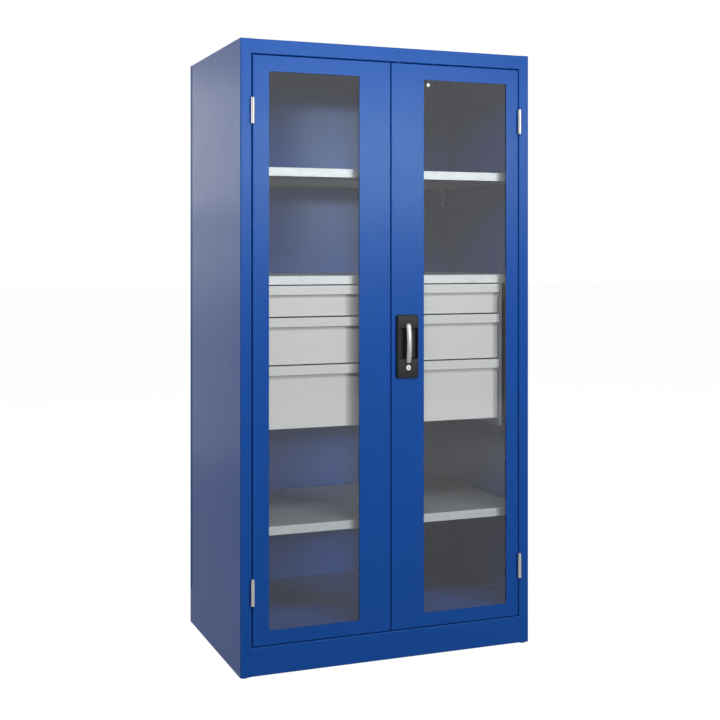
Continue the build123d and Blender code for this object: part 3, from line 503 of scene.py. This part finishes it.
def hinge_outline(leaf, inset):
    """Plan of one hinge half: a round knuckle and the leaf behind it, drawn in by an inset."""
    radius = knuckle_radius - inset
    near, far = leaf[0] + inset - hinge_x, leaf[1] - inset - hinge_x
    rear = door_half_box[1].y - hinge_y - inset
    start = math.atan2(math.sqrt(radius ** 2 - far ** 2), far)
    stop = math.atan2(math.sqrt(radius ** 2 - near ** 2), near) - 2 * math.pi
    steps = 40
    turns = [start + (stop - start) * step / steps for step in range(steps + 1)]
    points = [(radius * math.cos(turn), radius * math.sin(turn)) for turn in turns]
    return [(far, rear)] + points + [(near, rear)]


def hinge_halves(sides, leaf, low, high):
    """A mesh maker for one half of every hinge on the given sides, with eased ends."""
    rows = [(knuckle_ease, low), (0, low + knuckle_ease), (0, high - knuckle_ease), (knuckle_ease, high)]
    plans = [(hinge_outline(leaf, inset), z) for inset, z in rows]

    def make(shape):
        for side in sides:
            for centre in hinge_centres:
                skin_loops(shape, [[Vector((side * (hinge_x + x), hinge_y + y, centre + z))
                                    for x, y in plan] for plan, z in plans])
    return make


def pins(shape):
    """Plain pins with domed ends, which show over the doors' knuckles."""
    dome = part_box("hinge_pins")[1].z - hinge_centres[1] - knuckle_length
    for side in (-1, 1):
        for centre in hinge_centres:
            top = centre + knuckle_length
            rows = [(pin_radius, centre - knuckle_length), (pin_radius, top)]
            rows += [(max(pin_radius * math.cos(turn), pin_tip_radius), top + dome * math.sin(turn))
                     for turn in quarter_turn(6)]
            skin_loops(shape, [level(circle(radius, 32), side * hinge_x, hinge_y, z) for radius, z in rows])


lower_half, upper_half = (-knuckle_length, -half_split), (half_split, knuckle_length)
hinge_pieces = [
    ("frame_hinge_knuckles", "carcass", hinge_halves((-1, 1), frame_leaf, *lower_half),
     "frame_hinge_halves"),
    ("left_door_hinge_knuckles", "left_door", hinge_halves((-1,), door_leaf, *upper_half),
     "left_door_hinge_halves"),
    ("right_door_hinge_knuckles", "right_door", hinge_halves((1,), door_leaf, *upper_half),
     "right_door_hinge_halves"),
    ("domed_hinge_pins", "carcass", pins, "hinge_pins"),
]
for name, body, maker, node in hinge_pieces:
    smooth(piece(name, body, "zinc_plate", maker, [node]), crease)


# Slotted posts
slot_pitch, slot_height, slot_width = 25 * mm, 15 * mm, 6 * mm
lowest_slot, plain_top = 135 * mm, 40 * mm
post_sheet, post_bend = 1.5 * mm, 3 * mm
# Where the slots' middles stand: along the front posts' rear wall, and out from the cabinet's middle behind
front_slot_reach, rear_slot_x = 12.5 * mm, 475.5 * mm


def folded_strip(corners, slot_middle, sheet_side):
    """Matching lines on the two faces of a folded sheet, and the span that its slots pierce.

    The sheet lies to the left of the corners' line at sheet_side 1, and to its right at -1. The wall after
    the second corner is split round its slots, whose middle stands at slot_middle along it.
    """
    outer, inner = [], []
    last = len(corners) - 1

    def both(point, normal):
        outer.append(point)
        inner.append(point + normal * post_sheet)

    def normal_of(index):
        run = (corners[index + 1] - corners[index]).normalized()
        return Vector((-run.y, run.x)) * sheet_side

    for index, corner in enumerate(corners):
        if index in (0, last):
            both(corner, normal_of(min(index, last - 1)))
        else:
            before, after = normal_of(index - 1), normal_of(index)
            centre = corner + (before + after) * post_bend
            for step in range(5):
                normal = before.lerp(after, step / 4).normalized()
                both(centre - normal * post_bend, normal)
        if index == 1:
            along = (corners[index + 1] - corner).normalized()
            pierced = len(outer)
            for reach in (-slot_width / 2, slot_width / 2):
                both(corner + along * (slot_middle + reach), normal_of(index))
    return outer, inner, pierced


def slotted_post(node, corners, slot_middle, sheet_side):
    """A mesh maker for a folded post: one wall is pierced by a column of upright slots."""
    low, high = (corner.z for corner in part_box(node))
    outer, inner, pierced = folded_strip(corners, slot_middle, sheet_side)
    spans = range(len(outer) - 1)
    levels = [low]
    for number in range(int((high - plain_top - lowest_slot) / slot_pitch) + 1):
        middle = lowest_slot + number * slot_pitch
        levels += [middle - slot_height / 2, middle + slot_height / 2]
    levels.append(high)

    def make(shape):
        skins = [[[shape.verts.new((point.x, point.y, z)) for point in line] for z in levels]
                 for line in (outer, inner)]

        def across(start, end):
            """Close the sheet's thickness between two places, each a row and a point in it."""
            (row, point), (end_row, end_point) = start, end
            shape.faces.new((skins[0][row][point], skins[0][end_row][end_point],
                             skins[1][end_row][end_point], skins[1][row][point]))

        for row in range(len(levels) - 1):
            slot_row = row % 2 == 1
            for span in spans:
                if slot_row and span == pierced:
                    ring = [(row, span), (row, span + 1), (row + 1, span + 1), (row + 1, span)]
                    for start, end in zip(ring, ring[1:] + ring[:1]):
                        across(start, end)
                    continue
                for skin in skins:
                    shape.faces.new((skin[row][span], skin[row][span + 1], skin[row + 1][span + 1],
                                     skin[row + 1][span]))
            for edge in (0, len(spans)):
                across((row, edge), (row + 1, edge))
        for row in (0, len(levels) - 1):
            for span in spans:
                across((row, span), (row, span + 1))
    return make


for side, word in ((1, "right"), (-1, "left")):
    for end in ("front", "rear"):
        node = f"{end}_post_{word}"
        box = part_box(node)
        inner_x, outer_x = sorted((abs(box[0].x), abs(box[1].x)))
        front_y, rear_y = box[0].y, box[1].y
        if end == "front":
            plan = ((outer_x, front_y), (inner_x, front_y), (inner_x, rear_y))
            slot_middle = front_slot_reach
        else:
            # On this side of the line the rear posts' sheet stands outside their plan, by its own thickness
            # at the walls and by the bends' radius at the corners.
            plan = ((inner_x, rear_y), (inner_x, front_y), (outer_x, front_y), (outer_x, rear_y))
            slot_middle = rear_slot_x - inner_x
        corners = [Vector((side * x, y)) for x, y in plan]
        smooth(piece(f"{end}_slotted_post_{word}", "carcass", "blue_enamel",
                     slotted_post(node, corners, slot_middle, -side), [node]), crease)


# Feet
pad_radius, pad_top = 14 * mm, 8 * mm
pad_profile = [(11.2 * mm, 0), (12 * mm, 0.8 * mm), (13.7 * mm, 6.8 * mm), (pad_radius, 7.4 * mm),
               (13.4 * mm, pad_top)]
peg_width, peg_corner = 8 * mm, 1 * mm


def glide_pads(shape):
    """Moulded pads with eased rims, and the square pegs that hold them."""
    low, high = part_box("floor_glides")
    peg = rounded_rectangle(peg_width, peg_width, peg_corner)
    for x in (low.x + pad_radius, high.x - pad_radius):
        for y in (low.y + pad_radius, high.y - pad_radius):
            skin_loops(shape, [level(circle(radius, 48), x, y, z) for radius, z in pad_profile])
            skin_loops(shape, [level(peg, x, y, pad_top), level(peg, x, y, high.z)])


smooth(piece("moulded_floor_glides", "carcass", "glide_plastic", glide_pads, ["floor_glides"]), crease)


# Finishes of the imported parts
for part in record["subparts"]:
    shown = frame["nodes"][part["node"]]
    shown.data.materials.clear()
    shown.data.materials.append(finishes[part["material_slot"]])


# Studio
def seen(tree, path):
    """1 on rays from the eye, off a reflection or through glass, and 0 on light that is only bounced."""
    direct = add(tree, "Math", {0: path.outputs["Is Camera Ray"], 1: path.outputs["Is Glossy Ray"]},
                 operation="ADD")
    total = add(tree, "Math", {0: direct.outputs["Value"], 1: path.outputs["Is Transmission Ray"]},
                operation="ADD", use_clamp=True)
    return total.outputs["Value"]


def studio_floor():
    """Pale floor: white to the eye and in reflections with a soft shadow on it, and greyer as a bounce."""
    made, tree = new_tree("pale_studio_floor")
    path = add(tree, "LightPath")
    paint = add(tree, "BsdfDiffuse", {"Color": linear("#A8A8A8")})
    lit = add(tree, "MapRange", {"Value": path.outputs["Is Glossy Ray"], "To Min": 0.9, "To Max": 0.35})
    glow = add(tree, "Emission", {"Color": linear(white), "Strength": lit.outputs["Result"]})
    pale = add(tree, "AddShader", {0: paint.outputs["BSDF"], 1: glow.outputs["Emission"]})
    bounce = add(tree, "BsdfDiffuse", {"Color": linear("#787878")})
    surface = add(tree, "MixShader", {0: seen(tree, path), 1: bounce.outputs["BSDF"],
                                      2: pale.outputs["Shader"]})
    add(tree, "OutputMaterial", {"Surface": surface.outputs["Shader"]})
    mesh = bpy.data.meshes.new("studio_floor")
    reach = 40.0
    mesh.from_pydata([(-reach, -reach, 0), (reach, -reach, 0), (reach, reach, 0), (-reach, reach, 0)], [],
                     [(0, 1, 2, 3)])
    mesh.materials.append(made)
    floor = bpy.data.objects.new("studio_floor", mesh)
    bpy.context.scene.collection.objects.link(floor)


def studio_world():
    """White to the eye, in reflections and through glass, and a dimmer, even sky for its light."""
    world = bpy.data.worlds.new("studio_sky")
    bpy.context.scene.world = world
    world.use_nodes = True
    tree = world.node_tree
    tree.nodes.clear()
    strength = add(tree, "MapRange", {"Value": seen(tree, add(tree, "LightPath")), "To Min": 0.2,
                                      "To Max": 1.0})
    sky = add(tree, "Background", {"Color": linear(white), "Strength": strength.outputs["Result"]})
    add(tree, "OutputWorld", {"Surface": sky.outputs["Background"]})


def softbox(name, place, target, size, watts, glare):
    """A rectangular lamp that faces a point; the polished panes don't mirror it."""
    lamp = bpy.data.lights.new(name, "AREA")
    lamp.shape = "RECTANGLE"
    lamp.size, lamp.size_y = size
    lamp.energy = watts
    made = bpy.data.objects.new(name, lamp)
    made.location = place
    made.rotation_euler = (Vector(target) - Vector(place)).to_track_quat("-Z", "Y").to_euler()
    made.visible_camera = False
    made.visible_glossy = glare
    bpy.context.scene.collection.objects.link(made)
    dark = bpy.data.collections.new(f"{name}_keeps_off")
    for pane in ("left_door_pane", "right_door_pane"):
        dark.objects.link(frame["nodes"][pane])
    for entry in dark.collection_objects:
        entry.light_linking.link_state = "EXCLUDE"
    made.light_linking.receiver_collection = dark


def place_camera():
    """The photograph's camera: level, 1.3 m above the floor, to the left and turned 20 degrees."""
    data = bpy.data.cameras.new("photograph_camera")
    data.sensor_width = 36.0
    data.lens = 59.05
    data.shift_x = 0.0797
    data.shift_y = -0.1489
    camera = bpy.data.objects.new("photograph_camera", data)
    camera.location = (-1.553, front_face - 3.4305, 1.2964)
    camera.rotation_euler = (math.radians(90), 0, math.radians(-20.077))
    bpy.context.scene.collection.objects.link(camera)
    bpy.context.scene.camera = camera


# Name, place, the point that it faces, width and height, watts, and whether shiny surfaces mirror it
softboxes = [
    ("key_softbox", (2.35, front_face - 6.0, 2.15), (0.0, front_face, 1.2), (2.8, 0.4), 135, True),
    ("front_bounce", (3.6, front_face - 6.0, 2.2), (0.0, front_face, 1.2), (0.6, 1.5), 170, False),
    ("front_fill", (-0.35, front_face - 1.4, 2.3), (-0.2, front_face, 1.35), (1.7, 0.5), 25, False),
    ("left_fill", (-3.5, 0.1, 1.6), (-0.5, 0.1, 1.4), (1.6, 1.8), 38, True),
    ("rear_left_softbox", (-1.5, 3.1, 1.95), (-0.5, 0.0, 1.5), (1.5, 0.8), 3.4, True),
    ("rear_left_bounce", (-1.5, 3.1, 0.75), (-0.5, 0.0, 0.9), (1.5, 1.4), 2.4, True),
]

place_camera()
studio_floor()
studio_world()
for lamp_values in softboxes:
    softbox(*lamp_values)
bpy.context.scene.view_settings.view_transform = "Standard"
